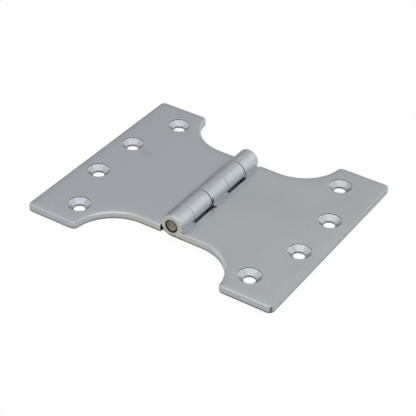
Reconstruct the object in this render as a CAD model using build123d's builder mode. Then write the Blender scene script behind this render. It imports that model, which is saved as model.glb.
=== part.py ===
from build123d import *
from math import acos, asin, atan2, degrees, sqrt
import os

# Parliament hinge, rolled from thick steel sheet, laid open and flat.
# X runs across the two leaves, with the three-knuckle leaf on +X. Y runs along the pin, from
# the near end of the barrel to the far end. Z is up. The origin is on the underside of the
# leaves, in the middle of the hinge.

# The two leaves, laid open
leaf_height = 102.0        # along the pin, a four-inch hinge
open_width = 119.0         # across both leaves
neck_height = 62.6         # along the pin, where a leaf is narrowest
scallop_centre = 15.0      # from the pin to where the scallops start
sheet = 3.0                # steel thickness of a leaf
ear_corner = 2.5           # rounding of the four corners of a leaf
punched_rim = 0.8          # soft round that the punch draws round the countersunk side
under_rim = 0.25           # the underside, where the sheet broke off, stays crisper
barrel_end_softness = 0.5  # rounding of the barrel's two ends

# The knuckles, counted from the near end of the barrel, which is flush with the necks
near_knuckle = 10.1
middle_knuckle = 13.1
far_knuckle = 11.3
slot = 13.6                # between two knuckles of the right leaf
near_gap = 0.1             # the left leaf has slid towards the near end of its slots
far_gap = 0.4
knuckle_softness = 0.25    # rounding of the corners where two knuckles meet
notch_gap = 0.55           # from the barrel to the edge of the other leaf's sheet

# The pin and the roll round it
pin_diameter = 5.2
pin_clearance = 0.05       # all round, in the knuckles that turn
pin_recess = 0.3           # from the barrel's end to the pin's end
pin_chamfer = 0.35
roll_thinning = 0.7        # rolling draws the strip thinner than the sheet
roll_seam = 0.08           # hairline where the roll lands on its own leaf
roll_tail = 2.35           # from the pin's axis to the inner corner of the roll's end
mouth_chamfer = 0.4        # at the two open ends of the bore

# The screw holes, four in each leaf, measured from the pin and from the leaf's middle
hole_diameter = 5.2
sink_diameter = 10.3
sink_wall = 0.35           # the countersink starts with a short straight wall
sink_land = 0.8            # straight hole left under the cone
corner_hole_x = 41.8
corner_hole_y = 38.0
outer_hole_x = 50.2
outer_hole_y = 12.9

# Worked out from the sizes above
leaf_half = leaf_height / 2
half_width = open_width / 2
neck_half = neck_height / 2
scallop_radius = leaf_half - neck_half
pin_radius = pin_diameter / 2
running_bore = pin_radius + pin_clearance
barrel_radius = running_bore + sheet - roll_thinning
notch_edge = barrel_radius + notch_gap
sheet_drop = barrel_radius - sheet
landing_drop = sheet_drop - roll_seam
crease = sqrt(barrel_radius**2 - landing_drop**2)
hole_radius = hole_diameter / 2
sink_radius = sink_diameter / 2
sink_depth = sheet - sink_wall - sink_land
sink_angle = 2 * degrees(atan2(sink_radius - hole_radius, sink_depth))

# Where each knuckle starts and ends along the pin
near_end = -neck_half
first_slot = near_end + near_knuckle
second_slot = first_slot + slot + middle_knuckle
far_end = second_slot + slot + far_knuckle
right_knuckles = [
    (near_end, first_slot),
    (first_slot + slot, second_slot),
    (second_slot + slot, far_end),
]
left_knuckles = [(start + near_gap, start + slot - far_gap) for start in (first_slot, second_slot)]


def leaf_outline(knuckles):
    """The stamped outline of a leaf on the +X side, up to the crease where its strips roll."""
    with BuildSketch() as outline:
        with BuildLine():
            inner = Line((notch_edge, 0), (notch_edge, neck_half))
            Line(inner @ 1, (scallop_centre, neck_half))
            scallop = CenterArc((scallop_centre, leaf_half), scallop_radius, -90, 90)
            ear = Line(scallop @ 1, (half_width, leaf_half))
            Line(ear @ 1, (half_width, 0))
            mirror(about=Plane.XZ)
        make_face()
        ends = outline.vertices().group_by(Axis.Y)
        fillet(ends[0] + ends[-1], ear_corner)
        for start, end in knuckles:
            with Locations(((crease + notch_edge) / 2, (start + end) / 2)):
                Rectangle(notch_edge - crease, end - start)
    return outline.sketch


def roll_section(bore):
    """A strip in section: out of the leaf, under the pin, up, over and down on its own leaf.

    A small hollow stays between the pin, the sheet and the square end of the strip.
    """
    landing = degrees(asin(landing_drop / barrel_radius))
    tail = degrees(acos(roll_tail / bore))
    bore_start = degrees(asin(sheet_drop / bore))
    axis = (0, barrel_radius)
    with BuildSketch(Plane.XZ) as section:
        with BuildLine():
            under = Line((crease, 0), (0, 0))
            outside = CenterArc(axis, barrel_radius, -90, -270 - landing)
            inside = CenterArc(axis, bore, -tail, 360 + tail - bore_start)
            Polyline(outside @ 1, (roll_tail, sheet + roll_seam), inside @ 0)
            top = Line(inside @ 1, (crease, sheet))
            Line(top @ 1, under @ 0)
        make_face()
    return section.sketch


def rolled_knuckle(start, end, bore):
    """One strip, rolled round the pin, with its outer corners softened at both ends."""
    near_softness = barrel_end_softness if start == near_end else knuckle_softness
    far_softness = barrel_end_softness if end == far_end else knuckle_softness
    with BuildPart() as knuckle:
        with BuildSketch(Plane.XZ.offset(-end)):
            add(roll_section(bore))
        extrude(amount=end - start)
        for place, softness in ((0, near_softness), (-1, far_softness)):
            arcs = knuckle.edges().filter_by(GeomType.CIRCLE).group_by(Axis.Y)[place]
            fillet(arcs.sort_by(SortBy.RADIUS)[-1], softness)
    return knuckle.part


def rolled_leaf(knuckles, bore):
    """A leaf drawn on the +X side: softened plate, countersunk holes and rolled knuckles."""
    with BuildPart() as leaf:
        add(leaf_outline(knuckles))
        extrude(amount=sheet)
        for place, softness in ((0, under_rim), (-1, punched_rim)):
            rims = leaf.faces().sort_by(Axis.Z)[place].edges()
            fillet(rims.filter_by(lambda rim: rim.center().X > notch_edge + 0.1), softness)

        cone_top = sheet - sink_wall
        with Locations(
            (corner_hole_x, corner_hole_y, cone_top),
            (corner_hole_x, -corner_hole_y, cone_top),
            (outer_hole_x, outer_hole_y, cone_top),
            (outer_hole_x, -outer_hole_y, cone_top),
        ):
            CounterSinkHole(hole_radius, sink_radius, counter_sink_angle=sink_angle)

        for start, end in knuckles:
            add(rolled_knuckle(start, end, bore))
    return leaf.part


right_drawn = rolled_leaf(right_knuckles, pin_radius)
left_drawn = rolled_leaf(left_knuckles, running_bore)

# Right leaf: three knuckles that grip the pin, with the bore opened out at both its mouths
with BuildPart() as right_leaf:
    add(right_drawn)
    for mouth, inward in ((near_end, 1), (far_end, -1)):
        with BuildSketch(Plane((0, mouth, barrel_radius), z_dir=(0, inward, 0))):
            Circle(pin_radius + mouth_chamfer)
        extrude(amount=mouth_chamfer, taper=45, mode=Mode.SUBTRACT)

# Left leaf: two knuckles that turn on the pin
with BuildPart() as left_leaf:
    mirror(left_drawn, about=Plane.YZ)

# Pin: a plain round bar, cut a little shorter than the barrel
with BuildPart() as pin:
    with BuildSketch(Plane.XZ.offset(pin_recess - far_end)):
        with Locations((0, barrel_radius)):
            Circle(pin_radius)
    extrude(amount=far_end - near_end - 2 * pin_recess)
    chamfer(pin.edges().filter_by(GeomType.CIRCLE), pin_chamfer)

right_leaf.part.label = "right_leaf"
left_leaf.part.label = "left_leaf"
pin.part.label = "pin"

os.makedirs("parts", exist_ok=True)
export_step(right_leaf.part, "parts/right_leaf.step")
export_step(left_leaf.part, "parts/left_leaf.step")
export_step(pin.part, "parts/pin.step")
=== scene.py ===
# %% [markdown]
# # A parliament hinge, laid open
# A parliament hinge has leaves that are wide at their outer side and narrow at the pin, so a
# door swings clear of its frame and lies flat on the wall. This one is rolled from thick steel
# sheet and plated to a satin finish. It has three pieces: two leaves, and the pin that holds
# them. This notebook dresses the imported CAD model: each piece gets a finer mesh with rounded
# rims and a finish painted by nodes, at exactly the place and size that the frame gives.

# %% Load the frame
import bmesh
import bpy
from math import asin, cos, degrees, pi, radians, sin, sqrt
from mathutils import Matrix, Vector, noise


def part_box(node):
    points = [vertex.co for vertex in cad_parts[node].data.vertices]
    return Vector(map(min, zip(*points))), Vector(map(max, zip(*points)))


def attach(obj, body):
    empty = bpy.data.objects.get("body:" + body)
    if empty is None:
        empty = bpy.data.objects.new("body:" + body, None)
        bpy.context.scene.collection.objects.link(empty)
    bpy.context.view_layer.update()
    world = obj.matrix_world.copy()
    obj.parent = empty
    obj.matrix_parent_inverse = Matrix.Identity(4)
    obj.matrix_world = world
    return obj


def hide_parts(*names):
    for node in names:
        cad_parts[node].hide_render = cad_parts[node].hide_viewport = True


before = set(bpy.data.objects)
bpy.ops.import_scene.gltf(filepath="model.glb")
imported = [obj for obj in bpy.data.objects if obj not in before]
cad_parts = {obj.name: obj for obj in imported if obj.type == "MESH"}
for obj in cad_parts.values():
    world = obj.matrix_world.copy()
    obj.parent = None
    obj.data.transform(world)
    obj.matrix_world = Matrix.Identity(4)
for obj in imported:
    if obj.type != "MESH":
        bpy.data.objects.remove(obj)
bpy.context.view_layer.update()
mm = 0.001
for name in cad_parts:
    low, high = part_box(name)
    print(name, "measures", [round(side / mm, 2) for side in high - low], "mm")

# %% [markdown]
# ## Sizes
# Whatever the frame can tell is read from it: the reach of a leaf, the height of the pin's
# axis, the pin's own size. The barrel lies on the same plane as the leaves, so its radius is
# half of a leaf's full height. The rest are workshop sizes, written in millimetres and turned
# to metres where they are used, because a hinge is thought of in millimetres.

# %% Read the main sizes and list the workshop sizes
pin_low, pin_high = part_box("pin")
leaf_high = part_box("right_leaf")[1]
axis_height = (pin_low.z + pin_high.z) / 2 / mm
pin_radius = (pin_high.z - pin_low.z) / 2 / mm
barrel_radius = leaf_high.z / 2 / mm
half_width = leaf_high.x / mm
leaf_half = leaf_high.y / mm

sheet = 3.0
neck_half = 31.3
scallop_centre = 15.0
ear_corner = 2.5
pin_clearance = 0.05
notch_gap = 0.55
roll_seam = 0.08
roll_tail = 2.35
running_bore = pin_radius + pin_clearance
notch_edge = barrel_radius + notch_gap

right_knuckles = [(-neck_half, -21.2), (-7.6, 5.5), (19.1, 30.4)]
left_knuckles = [(-21.1, -8.0), (5.6, 18.7)]
near_end = right_knuckles[0][0]
far_end = right_knuckles[-1][1]

hole_radius = 2.6
sink_radius = 5.15
sink_wall = 0.35
sink_land = 0.8
corner_hole = (41.8, 38.0)
outer_hole = (50.2, 12.9)

scallop_radius = leaf_half - neck_half
landing_drop = barrel_radius - sheet - roll_seam
landing = asin(landing_drop / barrel_radius)
crease = barrel_radius * cos(landing)
three_quarters = 1.5 * pi
strip_length = barrel_radius * (three_quarters + landing)
wrap = degrees(three_quarters + landing)
print("barrel", round(2 * barrel_radius, 2), "mm, strip rolled through", round(wrap, 1), "degrees")

# %% [markdown]
# ## The camera
# The photograph looks down on the hinge from in front, a little to its right, through a long
# lens, so the leaves hardly taper into the distance. The camera is given as a
# place, a point on the hinge that it looks at, and the slight turn of the picture. Those
# numbers come from fitting the eight screw holes and the outline of both leaves.

# %% Place the camera
camera_place = Vector((245.98379, -413.85730, 340.51967)) * mm
camera_target = Vector((1.76870, -5.63536, 0.0)) * mm
camera_turn = radians(2.7441)

camera_data = bpy.data.cameras.new("camera")
camera_data.lens = 119.2847
camera_data.sensor_width = 36.0
camera_data.clip_start = 0.01
camera = bpy.data.objects.new("camera", camera_data)
camera.location = camera_place
aim = (camera_target - camera_place).to_track_quat("-Z", "Y").to_matrix()
camera.rotation_euler = (aim @ Matrix.Rotation(camera_turn, 3, "Z")).to_euler()
bpy.context.collection.objects.link(camera)
bpy.context.scene.camera = camera
print("camera stands", round((camera_target - camera_place).length, 3), "m from the hinge")

# %% [markdown]
# ## Wiring nodes by writing sums
# Both the shapes and the finishes below are made by nodes. Placing every Math node by hand
# hides the sum that it does, so a small class wraps a socket and lets Python's own signs
# place the Math nodes. One more call places any other node: its kind, then its settings,
# then what its sockets are given. The same two serve shader trees and geometry trees.

# %% A wire that can be reckoned with
class Wire:
    """The output of a node. A sum written with it adds Math nodes to the same tree."""

    def __init__(self, socket):
        self.socket = socket

    def math(self, operation, *others):
        """A Math node that takes this wire first."""
        settings = {"operation": operation}
        return place(self.socket.id_data, "ShaderNodeMath", settings, dict(enumerate((self, *others))))

    def __add__(self, other):
        return self.math("ADD", other)

    def __sub__(self, other):
        return self.math("SUBTRACT", other)

    def __mul__(self, other):
        return self.math("MULTIPLY", other)

    def __truediv__(self, other):
        return self.math("DIVIDE", other)

    def __rsub__(self, other):
        return (self * -1.0) + other

    def __lt__(self, other):
        return self.math("LESS_THAN", other)

    def __abs__(self):
        return self.math("ABSOLUTE")

    __radd__ = __add__
    __rmul__ = __mul__


def place(tree, kind, settings=None, values=None, out=0):
    """Adds one node: its settings first, then a value or a wire for each socket it is given."""
    node = tree.nodes.new(kind)
    for name, value in (settings or {}).items():
        setattr(node, name, value)
    for name, value in (values or {}).items():
        if isinstance(value, Wire):
            tree.links.new(value.socket, node.inputs[name])
        else:
            node.inputs[name].default_value = value
    return Wire(node.outputs[out]) if node.outputs else node


def smooth_step(value, start, end):
    """0 before start, 1 after end and an even S between, for a soft border."""
    settings = {"interpolation_type": "SMOOTHSTEP"}
    limits = {"From Min": start, "From Max": end}
    return place(value.socket.id_data, "ShaderNodeMapRange", settings, {"Value": value, **limits})


# %% [markdown]
# ## The world and the lamps
# The photograph is a studio shot on pure white. A white world that only camera and mirror
# rays see makes that ground and leaves the light plain. Metal shows what stands round it, and
# here the far left side of the barrel is darker than its top, as if a dark screen stood there.
# The world gets such a soft dark patch, for mirror rays alone. A large lamp above lights the
# cones of the countersinks, one behind on the right draws the light streak on the barrel, and
# a weak one on the left lifts the rims that face it.

# %% Light the stage
scene = bpy.context.scene
scene.view_settings.view_transform = "Standard"

white = (1, 1, 1, 1)
fill_strength = 0.62
screen_darkness = 0.55
screen_border = 0.74
screen_core = 0.99
toward_screen = Vector((-0.72, 0.70, -0.05)).normalized()


def seen_or_mirrored(rays):
    """1 for a ray from the camera and for one that metal mirrors, 0 for one that lights."""
    return Wire(rays.outputs["Is Camera Ray"]).math("MAXIMUM", Wire(rays.outputs["Is Glossy Ray"]))


world = bpy.data.worlds.new("white studio")
world.use_nodes = True
sky_tree = world.node_tree
sky_tree.nodes.clear()
rays = sky_tree.nodes.new("ShaderNodeLightPath")
seen = seen_or_mirrored(rays).math("MAXIMUM", Wire(rays.outputs["Is Transmission Ray"]))
direction = place(sky_tree, "ShaderNodeTexCoord", out="Generated")
values = {0: direction, 1: toward_screen}
screen_side = place(sky_tree, "ShaderNodeVectorMath", {"operation": "DOT_PRODUCT"}, values, out="Value")
screen = smooth_step(screen_side, screen_border, screen_core) * Wire(rays.outputs["Is Glossy Ray"])
values = {"Color": white, "Strength": fill_strength}
fill_light = place(sky_tree, "ShaderNodeBackground", None, values)
values = {"Color": white, "Strength": 1.0 - screen * screen_darkness}
white_ground = place(sky_tree, "ShaderNodeBackground", None, values)
sky = place(sky_tree, "ShaderNodeMixShader", None, {0: seen, 1: fill_light, 2: white_ground})
place(sky_tree, "ShaderNodeOutputWorld", None, {"Surface": sky})
scene.world = world


def soft_lamp(name, location, size, radiance):
    """A square lamp aimed at the hinge. A brightness of 1 makes its face as bright as paper."""
    data = bpy.data.lights.new(name, "AREA")
    data.size = size
    data.energy = radiance * pi * size * size
    lamp = bpy.data.objects.new(name, data)
    lamp.location = location
    lamp.rotation_euler = (-Vector(location)).to_track_quat("-Z", "Y").to_euler()
    bpy.context.collection.objects.link(lamp)
    print(name, "gives", round(data.energy, 2), "W")


soft_lamp("lamp_above", (0.03, -0.13, 0.62), size=0.95, radiance=0.75)
soft_lamp("lamp_behind_right", (0.62, 0.79, 0.37), size=1.10, radiance=0.56)
soft_lamp("lamp_left", (-0.92, -0.10, 0.38), size=0.70, radiance=0.35)

# %% [markdown]
# ## The floor
# The floor is a pale matt sheet that glows white to the camera and to the metal, and keeps a
# little of its shadow. The glow has to die in the narrow slots beside the knuckles, which are
# nearly black in the photograph. Ambient occlusion tells how much sky a point on the floor
# sees: nearly nothing down a slot, but a good part through a screw hole. Seen from below the
# floor is clear, and so it is for what a ray mirrors after it has come through, so that the
# underside of the hinge can be looked at too.


# %% Lay the floor
floor_size = 6.0
floor_drop = 0.1 * mm
slot_reach = 14 * mm
glow_share = 0.92
shut_in = 0.12
in_the_open = 0.26
floor_tone = (0.93, 0.93, 0.93, 1)
shut_in_tone = (0.01, 0.01, 0.01, 1)


def floor_finish():
    """Matt and pale, glowing white in the open and dark where the sky hardly reaches it."""
    material = bpy.data.materials.new("pale_floor")
    material.use_nodes = True
    tree = material.node_tree
    tree.nodes.clear()
    matt = place(tree, "ShaderNodeBsdfDiffuse", None, {"Color": floor_tone})
    glow = place(tree, "ShaderNodeEmission", None, {"Color": white, "Strength": 1.0})
    dark = place(tree, "ShaderNodeBsdfDiffuse", None, {"Color": shut_in_tone})
    rays = tree.nodes.new("ShaderNodeLightPath")
    seen = seen_or_mirrored(rays)
    reach = {"Distance": slot_reach}
    sky_share = place(tree, "ShaderNodeAmbientOcclusion", {"samples": 16}, reach, out="AO")
    open_floor = smooth_step(sky_share, shut_in, in_the_open)
    lit = place(tree, "ShaderNodeMixShader", None, {0: seen * glow_share, 1: matt, 2: glow})
    surface = place(tree, "ShaderNodeMixShader", None, {0: open_floor, 1: dark, 2: lit})
    clear = place(tree, "ShaderNodeBsdfTransparent")
    from_below = Wire(tree.nodes.new("ShaderNodeNewGeometry").outputs["Backfacing"])
    from_below = from_below.math("MAXIMUM", Wire(rays.outputs["Transparent Depth"]))
    from_below = from_below.math("MINIMUM", 1.0)
    surface = place(tree, "ShaderNodeMixShader", None, {0: from_below, 1: surface, 2: clear})
    place(tree, "ShaderNodeOutputMaterial", None, {"Surface": surface})
    return material


bpy.ops.mesh.primitive_plane_add(size=floor_size, location=(0, 0, -floor_drop))
floor = bpy.context.object
floor.name = "floor"
floor.data.materials.append(floor_finish())

# %% [markdown]
# ## The finish of the plated steel
# The metal is satin, as on parts that are tumbled before they are plated: it mirrors the
# studio only as soft light. A metal's colour is the colour of what it mirrors, so most of the
# look is in the roughness and in a very fine relief. The hinge also shows traces of the
# making: fine marks round the knuckles, rays in the countersinks, a warm edge where the sheet
# was sheared, painted lighter as well for the light it catches, and the line that the roller
# pressed beside each knuckle, drawn with a painted highlight and painted shade. Each trace gets
# a mask, and every mask is reckoned from the place on the hinge in millimetres.


# %% Start a finish
def new_finish(name):
    """A material with an empty tree, the place in millimetres and the way the surface faces."""
    material = bpy.data.materials.new(name)
    material.use_nodes = True
    tree = material.node_tree
    tree.nodes.clear()
    own = tree.nodes.new("ShaderNodeTexCoord")
    spot = place(
        tree,
        "ShaderNodeVectorMath",
        {"operation": "SCALE"},
        {0: Wire(own.outputs["Object"]), "Scale": 1 / mm},
    )
    return material, tree, spot, Wire(own.outputs["Normal"])


def parts(vector):
    """The three numbers of a vector, each as a wire."""
    split = place(vector.socket.id_data, "ShaderNodeSeparateXYZ", None, {0: vector})
    return [Wire(socket) for socket in split.socket.node.outputs]


# %% Mix paints and draw soft borders
def painted(under, share, colour):
    """The paint below, covered with another colour by a share from 0 to 1."""
    values = {"Factor": share, "A": under, "B": (*colour, 1.0)}
    return place(share.socket.id_data, "ShaderNodeMix", {"data_type": "RGBA"}, values, out="Result")


def shaded(under, factor):
    """The paint below, made lighter or darker by a factor."""
    values = {0: under, "Scale": factor}
    return place(factor.socket.id_data, "ShaderNodeVectorMath", {"operation": "SCALE"}, values)


def line(value, centre, reach):
    """1 on a line, fading to 0 at its reach on both sides."""
    return smooth_step(abs(value - centre), reach, 0.0)


def between(value, low, high, blur):
    """1 between two borders, each of them softened by the blur."""
    return smooth_step(value, low - blur, low + blur) * smooth_step(value, high + blur, high - blur)


def least(*values):
    """The smallest of several wires."""
    smallest = values[0]
    for value in values[1:]:
        smallest = smallest.math("MINIMUM", value)
    return smallest


def speckle(tree, spot, scale, detail):
    """Noise from 0 to 1, the base of every mottle and of the fine marks."""
    return place(tree, "ShaderNodeTexNoise", None, {"Vector": spot, "Scale": scale, "Detail": detail})


# %% [markdown]
# ## Masks for the traces
# Round the pin, a place is known by its angle and its distance from the axis. A screw hole is
# known by the distance from the nearest hole's centre: the four holes of a leaf mirror each
# other, so two centres are enough once the signs of x and y are dropped. A leaf has slots
# exactly where the other leaf has knuckles, so one list of slots serves both. The distance
# from the outline is the least of three: to the scallop with the neck, to the end of the ear
# and to the long edge.

# %% Reckon where a place lies
right_slots = [
    (right_knuckles[0][1], right_knuckles[1][0]),
    (right_knuckles[1][1], right_knuckles[2][0]),
]


def round_the_pin(x, z):
    """The angle round the pin in degrees, 0 on top and 90 on the right, and the distance."""
    up = z - axis_height
    angle = x.math("ARCTAN2", up) * (180 / pi)
    return angle, (x * x + up * up).math("SQRT")


def beside_own_knuckle(x, y):
    """1 beside the knuckles of the leaf on this side of the pin, 0 beside its slots."""
    in_slot = sum((between(y, near, far, 0.15) for near, far in right_slots), start=0.0)
    on_left = x < 0.0
    return on_left * in_slot + (1.0 - on_left) * (1.0 - in_slot)


def from_outline(from_pin, from_middle):
    """How far a place on a leaf lies inside its outline."""
    past_neck = (from_pin - scallop_centre).math("MAXIMUM", 0.0)
    to_ear = leaf_half - from_middle
    to_scallop = (past_neck * past_neck + to_ear * to_ear).math("SQRT") - scallop_radius
    return least(to_scallop, to_ear, half_width - from_pin)


def nearest_hole(tree, from_pin, from_middle):
    """The distance from the nearest hole's centre, and the direction to it as a unit vector."""
    steps = []
    for hole_x, hole_y in (corner_hole, outer_hole):
        values = {0: from_pin - hole_x, 1: from_middle - hole_y}
        step = place(tree, "ShaderNodeCombineXYZ", None, values)
        length = place(tree, "ShaderNodeVectorMath", {"operation": "LENGTH"}, {0: step}, out="Value")
        steps.append((step, length))
    (corner_step, corner_length), (outer_step, outer_length) = steps
    values = {"Factor": outer_length < corner_length, "A": corner_step, "B": outer_step}
    step = place(tree, "ShaderNodeMix", {"data_type": "VECTOR"}, values, out="Result")
    direction = place(tree, "ShaderNodeVectorMath", {"operation": "NORMALIZE"}, {0: step})
    return corner_length.math("MINIMUM", outer_length), direction


# %% [markdown]
# ## Painting the plated steel
# The first paint is the colour of the plating, which drifts slowly over a leaf; the left leaf is
# painted a little darker and bluer, as painted shade. Then come the knuckles with their marks and
# their painted highlight and shade, the countersinks with their rays, painted shade and a painted
# highlight, the sheared edge with its painted sheen and shade, the barrel's end with its painted
# highlight and shade, the painted highlights and shade beside the knuckles, the stains with the
# painted shade at the slots' ends, the rims with their painted shade and highlight, and at last
# the painted shade in the slots. The slope that the punch drags down inside each rim is relief
# and not paint.
#
# Not all of this is wear. The light and the dark side of the barrel, the darker band to the left
# of it, the duller long edge, the brighter scallops and the dark countersink walls are tones
# matched to the photograph's light.
# Paint turns with the metal, so with the hinge closed the knuckles show in two tones and the
# slot walls stay black in the open. Lamps and a darker surround would hold those tones better.


# %% Lay the plating and its drift
plating_dark = (0.358, 0.379, 0.396)
plating_light = (0.386, 0.408, 0.424)
# Painted shade: the left leaf is painted a little darker and bluer for the light that falls on it
left_leaf_painted_tone = (0.368, 0.385, 0.411)


def plating(tree, spot, x):
    """The colour of the plating: a slow drift, a fine mottle, and a left leaf painted a little darker
    and bluer as painted shade.
    """
    drift = smooth_step(speckle(tree, spot, 0.03, 3.0), 0.3, 0.7)
    mottle = speckle(tree, spot, 0.7, 5.0)
    colour = painted((*plating_dark, 1.0), drift, plating_light)
    colour = painted(colour, smooth_step(x, 6.0, -10.0), left_leaf_painted_tone)
    return shaded(colour, 0.955 + mottle * 0.09)


# %% Mark the knuckles
# Painted highlight for the barrel's lower right and painted shade for its left side
barrel_painted_highlight = (0.50, 0.525, 0.56)
barrel_painted_brightest = (0.585, 0.612, 0.652)
barrel_painted_shade = (0.19, 0.20, 0.22)
mark_contrast = 0.42


def knuckle_paint(tree, colour, angle, distance, y):
    """Fine marks round the barrel, a painted highlight on its lower right and painted shade on its left
    side.
    """
    on_barrel = smooth_step(distance, barrel_radius + 0.28, barrel_radius + 0.06)
    across = place(tree, "ShaderNodeCombineXYZ", None, {0: angle * 0.02, 1: y * 1.6})
    marks = speckle(tree, across, 1.0, 5.0)
    colour = shaded(colour, 1.0 + on_barrel * (marks - 0.5) * mark_contrast)
    # Painted highlight on the lower right, then painted shade on the left side
    colour = painted(colour, on_barrel * smooth_step(angle, 56.0, 80.0), barrel_painted_highlight)
    colour = painted(colour, on_barrel * smooth_step(angle, 92.0, 112.0) * 0.6, barrel_painted_brightest)
    colour = painted(colour, on_barrel * smooth_step(angle, -25.0, -45.0), barrel_painted_shade)
    return colour, on_barrel, marks


# %% Mark the countersinks
# Painted shade for the countersink's straight wall and for its land
sink_wall_shade_tone = (0.06, 0.063, 0.067)
sink_land_shade_tone = (0.14, 0.145, 0.15)
ray_contrast = 0.50


def countersink_paint(tree, colour, spot, hole, direction, z):
    """Rays on the cone, painted shade on the straight wall and the land, and a faint painted highlight
    round the rim.
    """
    slide = place(tree, "ShaderNodeVectorMath", {"operation": "SCALE"}, {0: spot, "Scale": 0.02})
    fan = place(tree, "ShaderNodeVectorMath", {"operation": "SCALE"}, {0: direction, "Scale": 3.2})
    fan = place(tree, "ShaderNodeVectorMath", {"operation": "ADD"}, {0: fan, 1: slide})
    rays = speckle(tree, fan, 2.2, 4.0)
    cone = smooth_step(hole, sink_radius, sink_radius - 0.1)
    colour = shaded(colour, 1.0 + cone * ((rays - 0.5) * ray_contrast - 0.01))
    # Painted shade on the straight wall
    wall = between(hole, sink_radius - 0.04, sink_radius + 0.06, 0.03) * smooth_step(z, 2.45, 2.60)
    wall = wall * smooth_step(z, sheet - 0.01, sheet - 0.06)
    colour = painted(colour, wall * 0.9, sink_wall_shade_tone)
    # Painted shade on the land
    land = smooth_step(hole, hole_radius + 0.16, hole_radius + 0.04)
    colour = painted(colour, land * 0.8, sink_land_shade_tone)
    # Painted highlight: a faint bright ring round the lip of the rim
    halo = line(hole, sink_radius + 0.45, 0.45)
    return shaded(colour, 1.0 + halo * 0.07), cone, rays


# %% Mark the sheared edge
# The cut edge's own colour, painted lighter as well, as a painted sheen for the light the edge catches
cut_colour_and_sheen = (0.415, 0.43, 0.44)
warm_cut_colour_and_sheen = (0.46, 0.455, 0.415)
# Painted shade along the bottom of the edge
bottom_shade_tone = (0.12, 0.12, 0.12)


def sheared_paint(colour, from_pin, from_middle, hole, z, steep, upward):
    """The edge of the sheet: its cut colour, warm by the necks and painted lighter for the light it
    catches, with painted shade along the bottom.
    """
    past_neck = smooth_step(from_middle, neck_half - 0.3, neck_half - 0.1)
    outside = smooth_step(from_pin, 5.7, 6.0).math("MAXIMUM", past_neck)
    outside = outside * smooth_step(hole, 5.25, 5.4)
    edge = steep * outside
    warm = smooth_step(from_pin, 30.0, 8.0)
    colour = painted(colour, edge, cut_colour_and_sheen)
    colour = painted(colour, edge * warm, warm_cut_colour_and_sheen)
    # Painted shade along the bottom of the edge
    bottom_shade = outside * smooth_step(z, 1.3, 0.35) * smooth_step(upward, -0.97, -0.85)
    return painted(colour, bottom_shade * 0.76, bottom_shade_tone), edge


# %% Paint shade into the slots
# Painted shade: the slots are painted black, and not metallic, where only shade falls
slot_shade_tone = (0.012, 0.012, 0.013)


def slot_shade_paint(from_pin, from_middle, z, steep, own):
    """Painted shade in the slots: on the notch walls and on their upper rims."""
    inside = smooth_step(from_middle, neck_half - 0.2, neck_half - 0.4)
    wall = steep * between(from_pin, 4.7, 5.6, 0.05) * smooth_step(z, sheet + 0.1, sheet - 0.05)
    rim = between(from_pin, 5.4, 5.68, 0.06) * (1.0 - own) * smooth_step(z, 2.3, 2.7)
    return least((wall + rim) * inside, 1.0)


# %% Mark the barrel's end
bare_sheet_tone = (0.44, 0.445, 0.385)
# Painted highlight for the ring's rim, then painted shade under the end and in the mouth of the bore
end_rim_highlight_tone = (0.52, 0.52, 0.48)
under_shade_tone = (0.070, 0.068, 0.062)
mouth_shade_tone = (0.035, 0.035, 0.03)


def barrel_end_paint(colour, distance, from_middle, x, z, endwise):
    """A pale greenish ring of bare sheet, with a painted highlight at its rim and painted shade
    underneath and at its mouth.
    """
    at_face = smooth_step(from_middle, far_end - 0.7, far_end - 0.3)
    ring = endwise * at_face * smooth_step(distance, 5.3, 5.1)
    colour = painted(colour, ring, bare_sheet_tone)
    at_rim = smooth_step(from_middle, far_end - 0.4, far_end - 0.1)
    # Painted highlight on the rim of the ring
    end_rim = at_rim * line(distance, barrel_radius - 0.25, 0.35)
    colour = painted(colour, end_rim * 0.6, end_rim_highlight_tone)
    # Painted shade under the barrel's end
    low_rim = between(distance, 4.25, 5.2, 0.12) * smooth_step(z, 4.2, 2.0) * smooth_step(x, 3.0, 0.5)
    low_strip = smooth_step(z, 1.1, 0.4) * smooth_step(x, 0.0, 1.5) * smooth_step(x, 6.2, 5.5)
    under = least(low_rim + low_strip, 1.0) * smooth_step(from_middle, far_end, far_end + 0.4)
    colour = painted(colour, under * 0.9, under_shade_tone)
    # Painted shade in the mouth of the bore
    at_mouth = smooth_step(from_middle, far_end - 0.8, far_end - 0.5)
    mouth = at_mouth * smooth_step(distance, pin_radius + 0.6, pin_radius + 0.35)
    return painted(colour, mouth, mouth_shade_tone)


# %% Paint highlights and shade beside the knuckles
def crease_paint(colour, x, y, z, from_pin, own):
    """Along own knuckles the pressed line's painted highlight and shade, a painted highlight on the
    slot edge, and painted shade left of the barrel.
    """
    low = smooth_step(z, 3.3, 3.05) * smooth_step(z, 2.3, 2.7)
    # Painted highlight and then painted shade along the pressed line beside own knuckles
    colour = shaded(colour, 1.0 + low * own * line(from_pin, 4.9, 0.50) * 0.34)
    colour = shaded(colour, 1.0 - low * own * line(from_pin, 5.65, 0.40) * 0.13)
    # Painted highlight on the slot's edge
    colour = shaded(colour, 1.0 + low * (1.0 - own) * line(from_pin, 6.15, 0.50) * 0.16)
    # Painted shade on the left leaf beside the barrel
    barrel_lee_shade = smooth_step(x, -11.5, -6.0) * 0.09 + smooth_step(x, -8.8, -7.4) * 0.16
    barrel_lee_shade = barrel_lee_shade * low * smooth_step(x, -5.0, -5.2) * smooth_step(y, -28.0, -20.0)
    return shaded(colour, 1.0 - barrel_lee_shade)


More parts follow.
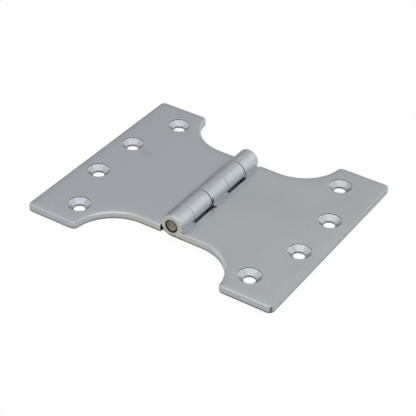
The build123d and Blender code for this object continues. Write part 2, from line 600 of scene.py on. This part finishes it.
# %% Lay the stains, and painted shade at the slots' ends
stains_and_slot_shades = [
    # Painted shade that carries the near slot's dark end on, then the red heart of a rust spot
    ((5.4, -7.0), (1.40, 1.50), (0.02, 0.015, 0.014), 1.0),
    ((6.0, -6.4), (0.95, 1.00), (0.14, 0.045, 0.025), 0.95),
    # Painted shade that carries the far slot's dark end on a little
    ((5.25, 19.7), (0.65, 0.85), (0.05, 0.05, 0.055), 0.8),
    # A smudge on the left leaf
    ((-41.8, 10.5), (6.0, 3.0), (0.31, 0.325, 0.35), 0.5),
    # A dark spot on the right leaf's near corner
    ((58.8, -50.3), (0.85, 0.85), (0.11, 0.115, 0.12), 0.9),
]


def soft_oval(colour, x, y, centre, reach, tone, strength):
    """A soft oval of colour at the given centre, with a reach along x and along y."""
    across = (x - centre[0]) / reach[0]
    along = (y - centre[1]) / reach[1]
    spread = (across * across + along * along).math("SQRT")
    return painted(colour, smooth_step(spread, 1.0, 0.25) * strength, tone)


# %% Drag the rims down, and paint shade and a highlight on them
drag_reach = 1.6
drag_depth = 0.40
# Painted shade for the right long edge and a painted highlight for the rims of the scallops
long_edge_shade = 0.18
scallop_highlight = 0.20


def dragged_down(inside, z):
    """The shallow slope that the punch leaves round the outline, as a depth in millimetres."""
    fade = (inside * (-1.0 / drag_reach)).math("EXPONENT").math("MINIMUM", 1.0)
    return fade * drag_depth * smooth_step(z, 2.0, 2.2)


def rim_paint(colour, inside, x, z):
    """Painted shade on the right long edge, and a painted highlight on the rims of the scallops."""
    on_top = smooth_step(z, 2.1, 2.4)
    dull = smooth_step(half_width - x, 1.5, 0.5) * on_top
    bright = between(abs(x), 21.0, 33.0, 2.5) * smooth_step(inside, 1.1, 0.5) * on_top
    return shaded(colour, 1.0 - dull * long_edge_shade + bright * scallop_highlight)


# %% Put the plated finish together
grain_depth = 0.0028
mark_depth = 0.0034
ray_depth = 0.0022
satin_roughness = 0.33


def plated_steel():
    """Satin plating with every trace and every painted highlight and shade over it, and its fine relief
    in millimetres.
    """
    material, tree, spot, facing = new_finish("plated_steel")
    x, y, z = parts(spot)
    endwise, upward = parts(facing)[1:]
    steep = smooth_step(abs(upward), 0.72, 0.42)
    from_pin = abs(x)
    from_middle = abs(y)
    angle, distance = round_the_pin(x, z)
    own = beside_own_knuckle(x, y)
    hole, direction = nearest_hole(tree, from_pin, from_middle)

    colour = plating(tree, spot, x)
    colour, on_barrel, marks = knuckle_paint(tree, colour, angle, distance, y)
    colour, cone, rays = countersink_paint(tree, colour, spot, hole, direction, z)
    colour, edge = sheared_paint(colour, from_pin, from_middle, hole, z, steep, upward)
    at_end = smooth_step(abs(endwise), 0.80, 0.95)
    colour = barrel_end_paint(colour, distance, from_middle, x, z, at_end)
    colour = crease_paint(colour, x, y, z, from_pin, own)
    for centre, reach, tone, strength in stains_and_slot_shades:
        colour = soft_oval(colour, x, y, centre, reach, tone, strength)

    inside = from_outline(from_pin, from_middle)
    colour = rim_paint(colour, inside, x, z)
    # Painted shade in the slots, which also takes the shine off the metal there
    slot_shade = slot_shade_paint(from_pin, from_middle, z, steep, own)
    colour = painted(colour, slot_shade, slot_shade_tone)
    grain = speckle(tree, spot, 5.0, 4.0)
    height = grain * grain_depth + on_barrel * marks * mark_depth + cone * rays * ray_depth
    height = height - dragged_down(inside, z)
    bump_values = {"Strength": 1.0, "Distance": mm, "Height": height}
    relief = place(tree, "ShaderNodeBump", None, bump_values, out="Normal")
    roughness = satin_roughness + grain * 0.08 + edge * 0.08 - cone * rays * 0.06
    values = {"Base Color": colour, "Metallic": 1.0 - slot_shade, "Roughness": roughness, "Normal": relief}
    metal = place(tree, "ShaderNodeBsdfPrincipled", None, {**values, "Specular IOR Level": 0.0})
    place(tree, "ShaderNodeOutputMaterial", None, {"Surface": metal})
    print("plated finish:", len(tree.nodes), "nodes")
    return material


plated = plated_steel()

# %% [markdown]
# ## The blank of a leaf
# A press stamps each leaf flat out of three-millimetre sheet, with tongues left on its inner
# side for the knuckles. The mesh starts the same way: a flat outline with tongues, lifted to
# the sheet's thickness. The tongues are cut across in many rows, because only a surface with
# rows across it can be rolled. The punch drags the rims of its own side round and leaves the
# underside crisp, so each rim carries its own rounding as a weight, in millimetres, and one
# Bevel modifier of a millimetre turns the weights into rounded rims.


# %% Draw the outline of the wide part
scallop_steps = 40
corner_steps = 10


def arc(centre, radius, start, end, steps):
    """Points along an arc, angles in radians, with both its ends."""
    turns = [start + (end - start) * step / steps for step in range(steps + 1)]
    return [(centre[0] + radius * cos(turn), centre[1] + radius * sin(turn)) for turn in turns]


def far_half_of_outline():
    """From the neck round the scallop and the ear to the long edge, on the +X and +Y side."""
    ear_centre_y = leaf_half - ear_corner
    reach = sqrt((scallop_radius + ear_corner) ** 2 - ear_corner ** 2)
    meeting = asin(ear_corner / (scallop_radius + ear_corner))
    scallop = arc((scallop_centre, leaf_half), scallop_radius, -pi / 2, -meeting, scallop_steps)
    inner_centre = (scallop_centre + reach, ear_centre_y)
    outer_centre = (half_width - ear_corner, ear_centre_y)
    inner_corner = arc(inner_centre, ear_corner, pi - meeting, pi / 2, corner_steps)
    outer_corner = arc(outer_centre, ear_corner, pi / 2, 0, corner_steps)
    return scallop + inner_corner[1:] + outer_corner


# %% Say how far each rim is rounded
punched_rim = 0.8
under_rim = 0.25
barrel_end_rim = 0.5
mouth_rim = 0.4
seam_rim = 0.25
crisp_rim = 0.1
tail_bore_rim = 0.5
tail_outer_rim = 0.12
tail_side_rim = 0.15
mouth_row = 1.72
near_enough = 0.01


def rim_rounding(middle, strip_end):
    """Rounding of the rim at this place of the flat blank, in millimetres."""
    on_top = middle.z > sheet / 2
    if middle.x > notch_edge + near_enough:
        return punched_rim if on_top else under_rim
    if middle.x > notch_edge - near_enough:
        return crisp_rim
    if middle.x < strip_end + near_enough:
        return tail_bore_rim if on_top else tail_outer_rim
    at_barrel_end = min(abs(middle.y - end) for end in (near_end, far_end)) < near_enough
    if not on_top:
        return barrel_end_rim if at_barrel_end else seam_rim
    if not at_barrel_end:
        return crisp_rim
    if middle.x > crease:
        return punched_rim
    return mouth_rim if middle.x < mouth_row else crisp_rim


# %% Stamp the blank
root_line = 7.0
flat_rows = [notch_edge, crease, 3.1, mouth_row, 1.3, 0.9, 0.45, 0.0]
last_row = 0.8
row_count = 64
sharp_turn = 1.0


def stamped_blank(knuckles):
    """The flat blank of a leaf on the +X side, in millimetres, with a weight on every rim."""
    mesh = bmesh.new()
    known = {}

    def corner(x, y):
        """The vertex at this place, made once and then shared."""
        key = (round(x, 4), round(y, 4))
        if key not in known:
            known[key] = mesh.verts.new((x, y, 0.0))
        return known[key]

    breaks = sorted({-neck_half, neck_half, *(end for knuckle in knuckles for end in knuckle)})
    upper = far_half_of_outline()
    lower = [(x, -y) for x, y in reversed(upper)]
    rim = [(root_line, y) for y in breaks] + upper + lower
    mesh.faces.new([corner(x, y) for x, y in rim])
    for near, far in zip(breaks, breaks[1:]):
        root = [(root_line, near), (notch_edge, near), (notch_edge, far), (root_line, far)]
        mesh.faces.new([corner(x, y) for x, y in root])

    step = (strip_length - last_row) / row_count
    rows = flat_rows + [-step * row for row in range(1, row_count + 1)] + [-strip_length]
    for near, far in knuckles:
        for x, next_x in zip(rows, rows[1:]):
            row = [(x, near), (next_x, near), (next_x, far), (x, far)]
            mesh.faces.new([corner(x, y) for x, y in row])

    lifted = bmesh.ops.extrude_face_region(mesh, geom=mesh.faces[:], use_keep_orig=True)
    tops = [part for part in lifted["geom"] if isinstance(part, bmesh.types.BMVert)]
    bmesh.ops.translate(mesh, verts=tops, vec=(0, 0, sheet))
    bmesh.ops.recalc_face_normals(mesh, faces=mesh.faces[:])

    weights = mesh.edges.layers.float.new("bevel_weight_edge")
    for edge in mesh.edges:
        first, second = edge.verts
        middle = (first.co + second.co) / 2
        level = abs(first.co.z - second.co.z) < near_enough
        if level and edge.calc_face_angle(0) > sharp_turn:
            edge[weights] = rim_rounding(middle, -strip_length)
        elif not level and middle.x < -strip_length + near_enough:
            edge[weights] = tail_side_rim
    print("blank with", len(knuckles), "tongues:", len(mesh.faces), "faces")
    return mesh


# %% [markdown]
# ## The countersunk screw holes
# Each leaf has four holes for flat-headed wood screws. A drill with a cone above its tip cuts
# each of them in one plunge, so the mesh is cut the same way: a Geometry Nodes tree stands a
# copy of one turned cutter on each of four points and takes them all out of the sheet. The
# points are two pairs, each as far from the middle of the leaf on one side as on the other.


# %% Turn a profile round an axis
def turned(profile, segments):
    """A closed round body from (radius, height) pairs, low end first, turned about Z."""
    mesh = bmesh.new()
    rings = []
    for radius, height in profile:
        turns = [2 * pi * step / segments for step in range(segments)]
        circle = [(radius * cos(turn), radius * sin(turn), height) for turn in turns]
        rings.append([mesh.verts.new(point) for point in circle])
    for ring, next_ring in zip(rings, rings[1:]):
        for step in range(segments):
            after = (step + 1) % segments
            mesh.faces.new((ring[step], ring[after], next_ring[after], next_ring[step]))
    mesh.faces.new(list(reversed(rings[0])))
    mesh.faces.new(rings[-1])
    return mesh


# %% Make the cutter
lip = 0.08
lip_steps = 4
overcut = 1.0
cutter_segments = 96
cutter_profile = [
    (hole_radius, -overcut),
    (hole_radius, sink_land),
    (sink_radius, sheet - sink_wall),
]
for step in range(lip_steps + 1):
    lean = pi / 2 * step / lip_steps
    cutter_profile.append((sink_radius + lip * (1 - cos(lean)), sheet - lip + lip * sin(lean)))
cutter_profile.append((sink_radius + lip, sheet + overcut))


def as_object(mesh, name):
    """Puts a bmesh into the scene as an object, turned from millimetres to metres."""
    bmesh.ops.scale(mesh, verts=mesh.verts[:], vec=(mm, mm, mm))
    data = bpy.data.meshes.new(name)
    mesh.to_mesh(data)
    mesh.free()
    item = bpy.data.objects.new(name, data)
    bpy.context.collection.objects.link(item)
    return item


cutter = as_object(turned(cutter_profile, cutter_segments), "cutter")


# %% Wire the tree for the holes
def new_tree(name, inputs):
    """A geometry tree with one input and one output of geometry, and named inputs for its sizes."""
    tree = bpy.data.node_groups.new(name, "GeometryNodeTree")
    tree.interface.new_socket("Geometry", in_out="INPUT", socket_type="NodeSocketGeometry")
    tree.interface.new_socket("Geometry", in_out="OUTPUT", socket_type="NodeSocketGeometry")
    for label, kind in inputs:
        tree.interface.new_socket(label, in_out="INPUT", socket_type=kind)
    source = tree.nodes.new("NodeGroupInput")
    return tree, {socket.name: Wire(socket) for socket in source.outputs if socket.name}


def close_tree(tree, shape, material):
    """Every tree ends alike: copies become real faces, and the faces get their metal."""
    real = place(tree, "GeometryNodeRealizeInstances", None, {"Geometry": shape})
    coated = place(tree, "GeometryNodeSetMaterial", None, {"Geometry": real, "Material": material})
    result = tree.nodes.new("NodeGroupOutput")
    tree.links.new(coated.socket, result.inputs[0])


holes_tree, given = new_tree("countersunk screw holes", [
    ("Cutter", "NodeSocketObject"),
    ("Corner hole from the pin", "NodeSocketFloat"),
    ("Corner hole from the middle", "NodeSocketFloat"),
    ("Outer hole from the pin", "NodeSocketFloat"),
    ("Outer hole from the middle", "NodeSocketFloat"),
])
pairs = place(holes_tree, "GeometryNodeJoinGeometry")
for from_pin, from_middle in (
    ("Corner hole from the pin", "Corner hole from the middle"),
    ("Outer hole from the pin", "Outer hole from the middle"),
):
    first = place(holes_tree, "ShaderNodeCombineXYZ", None, {0: given[from_pin], 1: given[from_middle]})
    across = place(holes_tree, "ShaderNodeCombineXYZ", None, {1: given[from_middle] * -2.0})
    values = {"Count": 2, "Start Location": first, "Offset": across}
    pair = place(holes_tree, "GeometryNodeMeshLine", None, values)
    holes_tree.links.new(pair.socket, pairs.socket.node.inputs[0])
tool = place(
    holes_tree,
    "GeometryNodeObjectInfo",
    {"transform_space": "ORIGINAL"},
    {"Object": given["Cutter"]},
    out="Geometry",
)
tools = place(holes_tree, "GeometryNodeInstanceOnPoints", None, {"Points": pairs, "Instance": tool})
tools = place(holes_tree, "GeometryNodeRealizeInstances", None, {"Geometry": tools})
drilled = place(
    holes_tree,
    "GeometryNodeMeshBoolean",
    {"operation": "DIFFERENCE", "solver": "EXACT"},
    {"Mesh 1": given["Geometry"], "Mesh 2": tools},
)
close_tree(holes_tree, drilled, plated)

# %% [markdown]
# ## The rolled knuckles
# The tongues are rolled round a mandrel: each passes under the pin, goes up the far side and
# over the top, and lands on its own leaf. A second tree does just that to the flat blank. A
# point's distance along the tongue becomes an angle, and its height in the sheet becomes a
# distance from the pin. Rolling draws the tongue thinner, so the wall of the barrel ends up
# thinner than the sheet. Past three quarters of a turn each layer is turned on until it lies
# flat on the leaf, which leaves the small hollow that real rolled hinges have there.

# %% Wire the tree for the roll
roll_tree, given = new_tree("rolled knuckles", [
    ("Sheet thickness", "NodeSocketFloat"),
    ("Barrel radius", "NodeSocketFloat"),
    ("Bore radius", "NodeSocketFloat"),
    ("Drop to the landing", "NodeSocketFloat"),
    ("Reach of the tail", "NodeSocketFloat"),
])
outside = given["Barrel radius"]
bore = given["Bore radius"]
drop = given["Drop to the landing"]
tail = given["Reach of the tail"]
position = place(roll_tree, "GeometryNodeInputPosition")
split = place(roll_tree, "ShaderNodeSeparateXYZ", None, {0: position}).socket.node
x, y, z = (Wire(socket) for socket in split.outputs)
depth = z / given["Sheet thickness"]

seat = outside - (bore * bore - x * x).math("MAXIMUM", 0.0).math("SQRT")
flat_z = depth * seat.math("MINIMUM", given["Sheet thickness"])

angle = (x * -1.0) / outside
radius = outside - depth * (outside - bore)
past = (angle - three_quarters).math("MAXIMUM", 0.0) / (drop / outside).math("ARCSINE")
shortest = (tail * tail + drop * drop).math("SQRT")
lay = (drop / radius.math("MAXIMUM", shortest)).math("ARCSINE")
angle = angle.math("MINIMUM", three_quarters) + past * lay
rolled_x = radius * angle.math("SINE") * -1.0
rolled_z = outside - radius * angle.math("COSINE")

on_roll = x < 0.0
new_x = x + on_roll * (rolled_x - x)
new_z = flat_z + on_roll * (rolled_z - flat_z)
place_now = place(roll_tree, "ShaderNodeCombineXYZ", None, {0: new_x, 1: y, 2: new_z})
values = {"Geometry": given["Geometry"], "Position": place_now}
rolled = place(roll_tree, "GeometryNodeSetPosition", None, values)
close_tree(roll_tree, rolled, plated)


# %% [markdown]
# ## The two leaves
# The steps now run in the order of the workshop: stamp, round the rims, drill, roll. The
# result is turned into a plain mesh and its flat faces are made to rule the shading, so the
# rounded rims shade softly and the sheet stays flat. The left leaf is made on the same side
# and then mirrored, which turns its faces inside out, so they are turned back.


# %% Make a leaf
rim_unit = 1.0
rim_segments = 5
weld_distance = 0.001
sharp_above = 42
flat_face_weight = 80


def use_tree(item, tree, values):
    """Adds a tree as a modifier and sets its named inputs."""
    step = item.modifiers.new(tree.name, "NODES")
    step.node_group = tree
    for socket in tree.interface.items_tree:
        if socket.in_out == "INPUT" and socket.name in values:
            step[socket.identifier] = values[socket.name]


def plain_mesh(item, name):
    """The object as its modifiers leave it, turned into a plain mesh under a new name."""
    depsgraph = bpy.context.evaluated_depsgraph_get()
    mesh = bpy.data.meshes.new_from_object(item.evaluated_get(depsgraph), depsgraph=depsgraph)
    mesh.name = name
    bpy.data.objects.remove(item)
    made = bpy.data.objects.new(name, mesh)
    bpy.context.collection.objects.link(made)
    return made


def rolled_leaf(name, knuckles, bore_radius, side):
    """A finished leaf, stamped, rounded, drilled and rolled. A side of -1 mirrors it to the left."""
    item = as_object(stamped_blank(knuckles), name + "_blank")
    rims = item.modifiers.new("rounded rims", "BEVEL")
    rims.limit_method = "WEIGHT"
    rims.width = rim_unit * mm
    rims.segments = rim_segments
    rims.use_clamp_overlap = False
    use_tree(item, holes_tree, {
        "Cutter": cutter,
        "Corner hole from the pin": corner_hole[0] * mm,
        "Corner hole from the middle": corner_hole[1] * mm,
        "Outer hole from the pin": outer_hole[0] * mm,
        "Outer hole from the middle": outer_hole[1] * mm,
    })
    use_tree(item, roll_tree, {
        "Sheet thickness": sheet * mm,
        "Barrel radius": barrel_radius * mm,
        "Bore radius": bore_radius * mm,
        "Drop to the landing": landing_drop * mm,
        "Reach of the tail": roll_tail * mm,
    })
    leaf = plain_mesh(item, name)

    shape = bmesh.new()
    shape.from_mesh(leaf.data)
    if side < 0:
        bmesh.ops.scale(shape, verts=shape.verts[:], vec=(-1, 1, 1))
    bmesh.ops.remove_doubles(shape, verts=shape.verts[:], dist=weld_distance * mm)
    bmesh.ops.recalc_face_normals(shape, faces=shape.faces[:])
    open_edges = sum(1 for edge in shape.edges if len(edge.link_faces) != 2)
    shape.to_mesh(leaf.data)
    shape.free()

    leaf.data.shade_smooth()
    leaf.data.set_sharp_from_angle(angle=radians(sharp_above))
    shading = leaf.modifiers.new("flat faces rule", "WEIGHTED_NORMAL")
    shading.keep_sharp = True
    shading.weight = flat_face_weight
    leaf = plain_mesh(leaf, name + "_rolled")
    leaf.data.calc_loop_triangles()
    print(name, "has", len(leaf.data.loop_triangles), "triangles and", open_edges, "open edges")
    return leaf


right_leaf = rolled_leaf("right_leaf", right_knuckles, pin_radius, 1)
left_leaf = rolled_leaf("left_leaf", left_knuckles, running_bore, -1)
bpy.data.objects.remove(cutter)

# %% [markdown]
# ## The pin
# The pin is a length of plain bar. Its near end looks bare and rough, as cropping in a press
# leaves it. The mesh is turned from a profile with rings across its end faces, and the rings
# are pushed in a little by noise, so the end catches the light unevenly.

# %% Paint the bare steel of the pin
pin_dark = (0.06, 0.05, 0.04)
pin_light = (0.30, 0.28, 0.235)
pin_heart = (0.22, 0.11, 0.075)
pin_fleck = (0.55, 0.52, 0.45)
# Painted shade round the pin's end, where it sits in the bore
pin_gap_shade = (0.05, 0.045, 0.04)


def bare_steel():
    """Brown mottled steel with a redder heart, light specks and painted shade round the edge of its
    end.
    """
    material, tree, spot, _ = new_finish("pin_steel")
    x, y, z = parts(spot)
    distance = round_the_pin(x, z)[1]
    mottle = smooth_step(speckle(tree, spot, 0.9, 5.0), 0.36, 0.64)
    colour = painted((*pin_dark, 1.0), mottle, pin_light)
    colour = painted(colour, smooth_step(distance, 1.3, 0.2) * 0.55, pin_heart)
    flecks = smooth_step(speckle(tree, spot, 2.6, 2.0), 0.60, 0.72)
    colour = painted(colour, flecks * 0.5, pin_fleck)
    # Painted shade round the edge of the end
    gap = smooth_step(distance, pin_radius - 0.42, pin_radius - 0.12)
    colour = painted(colour, gap, pin_gap_shade)
    grain = speckle(tree, spot, 4.0, 4.0)
    bump_values = {"Strength": 0.5, "Distance": 0.05 * mm, "Height": grain + mottle}
    relief = place(tree, "ShaderNodeBump", None, bump_values, out="Normal")
    roughness = 0.42 + mottle * 0.15
    values = {"Base Color": colour, "Metallic": 0.85, "Roughness": roughness, "Normal": relief}
    metal = place(tree, "ShaderNodeBsdfPrincipled", None, values)
    place(tree, "ShaderNodeOutputMaterial", None, {"Surface": metal})
    return material


# %% Turn the pin
crop_rounding = 0.35
face_rings = 8
crop_relief = 0.12
relief_fade = 0.4
relief_scale = 0.9
relief_start = Vector((3.1, 0.0, 0.0))
bar_rings = (-20, -10, 0, 10, 20)
pin_segments = 72
pin_sharp_above = 50
first_ring = 0.15


def cropped_pin():
    """The pin with rounded, uneven ends, turned upright and then laid along the barrel."""
    near, far = pin_low.y / mm, pin_high.y / mm
    flat_radius = pin_radius - crop_rounding
    face = [(flat_radius * (ring + first_ring) / face_rings, near) for ring in range(face_rings)]
    corner_arc = arc((flat_radius, near + crop_rounding), crop_rounding, -pi / 2, 0, 4)
    profile = face + corner_arc + [(pin_radius, step) for step in bar_rings]
    profile += [(radius, near + far - height) for radius, height in reversed(face + corner_arc)]
    mesh = turned(profile, pin_segments)
    for vert in mesh.verts:
        out = sqrt(vert.co.x ** 2 + vert.co.y ** 2)
        if out < flat_radius:
            inward = 1 if vert.co.z < 0 else -1
            rough = 0.5 + 0.5 * noise.noise(vert.co * relief_scale + relief_start)
            vert.co.z += inward * crop_relief * rough * min(1, (flat_radius - out) / relief_fade)
    lay_down = Matrix.Translation((0, 0, axis_height)) @ Matrix.Rotation(radians(-90), 4, "X")
    bmesh.ops.transform(mesh, matrix=lay_down, verts=mesh.verts[:])
    pin = as_object(mesh, "pin_bar")
    pin.data.shade_smooth()
    pin.data.set_sharp_from_angle(angle=radians(pin_sharp_above))
    pin.data.materials.append(bare_steel())
    print("pin runs from", round(near, 2), "to", round(far, 2), "mm")
    return pin


pin = cropped_pin()

# %% [markdown]
# ## Joining the pieces to the frame
# The pin is gripped by the right leaf, so both ride on the fixed body. The left leaf rides on
# the turning body. Each fine mesh takes the place of its CAD node, which stays hidden for the
# physics.

# %% Ride and replace
for piece, body, node, slot in (
    (right_leaf, "fixed_leaf", "right_leaf", "plated_steel"),
    (left_leaf, "turning_leaf", "left_leaf", "plated_steel"),
    (pin, "fixed_leaf", "pin", "pin_steel"),
):
    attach(piece, body)
    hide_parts(node)
    print(piece.name, "rides on", body)
